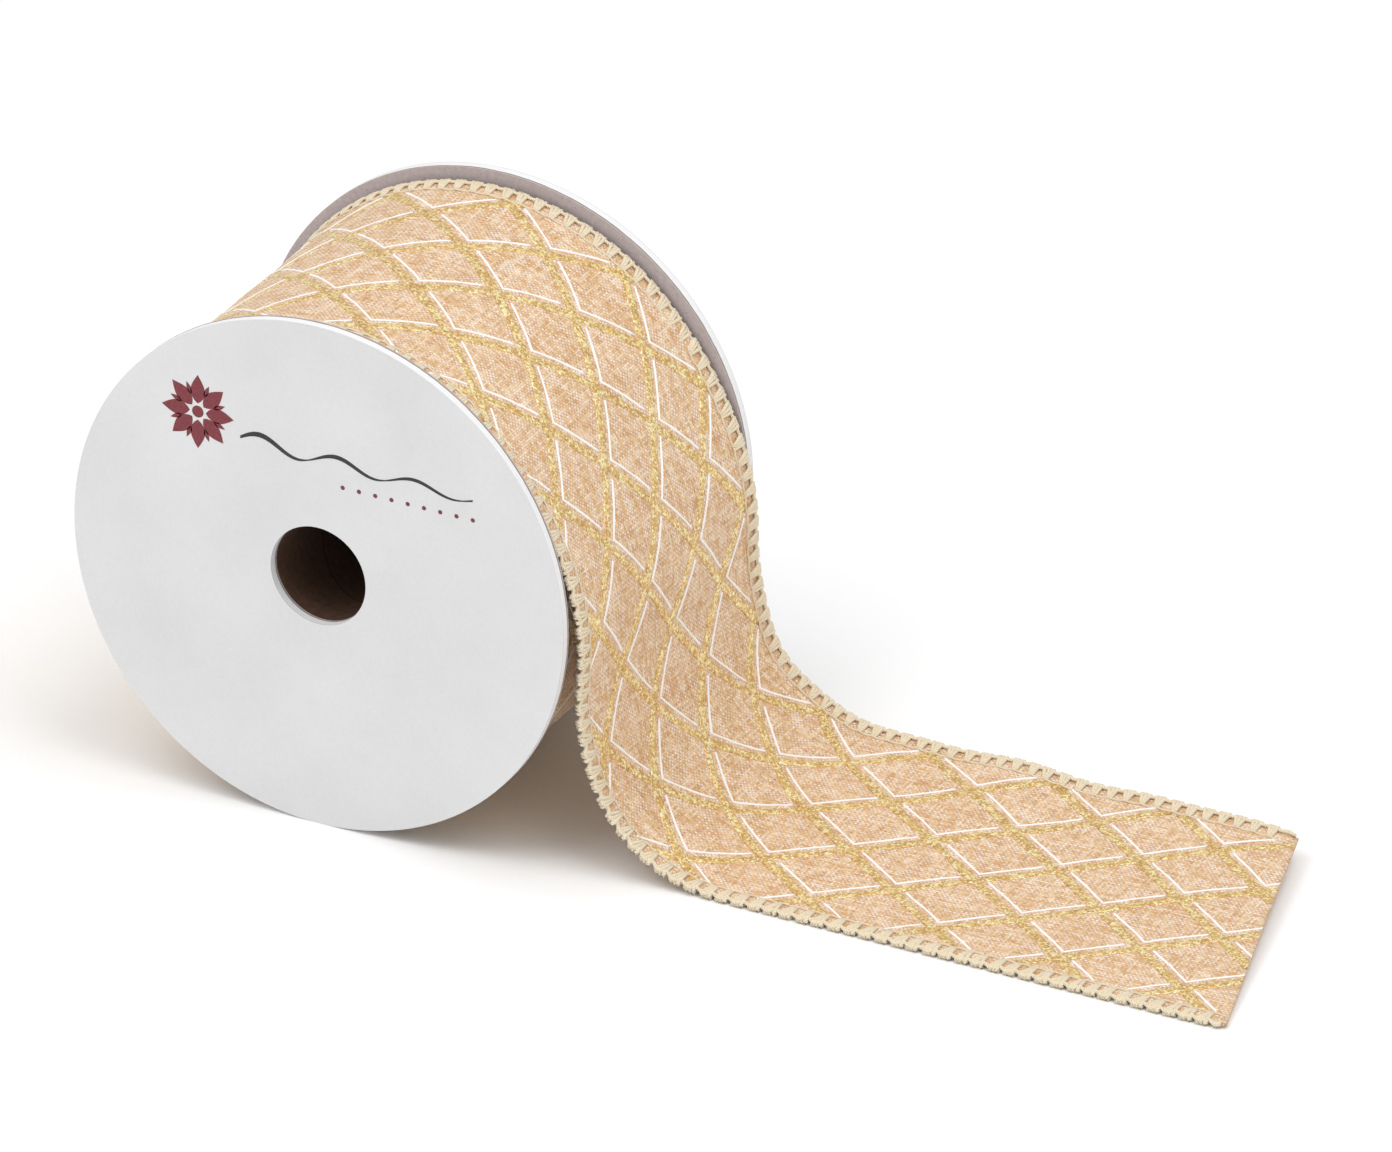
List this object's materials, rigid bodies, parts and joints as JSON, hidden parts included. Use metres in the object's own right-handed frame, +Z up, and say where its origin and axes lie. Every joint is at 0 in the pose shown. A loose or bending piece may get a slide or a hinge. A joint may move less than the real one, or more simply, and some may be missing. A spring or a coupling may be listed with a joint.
{
  "type": "ribbon spool",
  "caption": "Roll of wide wired-edge fabric ribbon on a flanged paperboard spool with a central bore; the ribbon's free end drops to the table and runs out flat.",
  "frame": {"origin": "centre of the bore, halfway between the flanges", "axes": "+Y along the bore towards the back flange, +X towards the ribbon's free end, +Z up"},
  "size_m": [0.2257, 0.0698, 0.098],
  "materials": {
    "face_paper": "smooth coated white",
    "liner_paper": "matte grey",
    "flange_board": "cut paperboard",
    "kraft_tube": "spiral-wound kraft",
    "glue": "dried glue",
    "tape": "clear tape",
    "ribbon_fabric": "linen-look weave with gold glitter lattice",
    "edge_thread": "cream overlock thread",
    "edge_wire": "fine steel wire"
  },
  "bodies": {
    "tail": {"tail_fabric": "ribbon_fabric", "tail_front_stitching": "edge_thread", "tail_back_stitching": "edge_thread", "tail_front_wire": "edge_wire", "tail_back_wire": "edge_wire"},
    "spool": {"front_face_paper": "face_paper", "front_flange_board": "flange_board", "front_liner_paper": "liner_paper", "back_liner_paper": "liner_paper", "back_flange_board": "flange_board", "back_face_paper": "face_paper", "core_tube": "kraft_tube", "front_glue_fillet": "glue", "back_glue_fillet": "glue", "starter_tape": "tape", "wound_fabric": "ribbon_fabric", "wound_front_edges": "edge_thread", "wound_back_edges": "edge_thread", "outer_lap_fabric": "ribbon_fabric", "outer_lap_front_stitching": "edge_thread", "outer_lap_back_stitching": "edge_thread", "outer_lap_front_wire": "edge_wire", "outer_lap_back_wire": "edge_wire"},
    "tail_end": {"tail_end_fabric": "ribbon_fabric", "tail_end_front_stitching": "edge_thread", "tail_end_back_stitching": "edge_thread", "tail_end_front_wire": "edge_wire", "tail_end_back_wire": "edge_wire"}
  },
  "joints": [
    {"name": "spool_turn", "type": "hinge", "parent": "tail", "child": "spool", "pos_m": [0, 0, 0], "axis": [0, 1, 0], "continuous": true},
    {"name": "tail_lift", "type": "hinge", "parent": "tail", "child": "tail_end", "pos_m": [0.08069, 0, -0.0478], "axis": [0, -1, 0], "range_deg": [0, 60]}
  ]
}
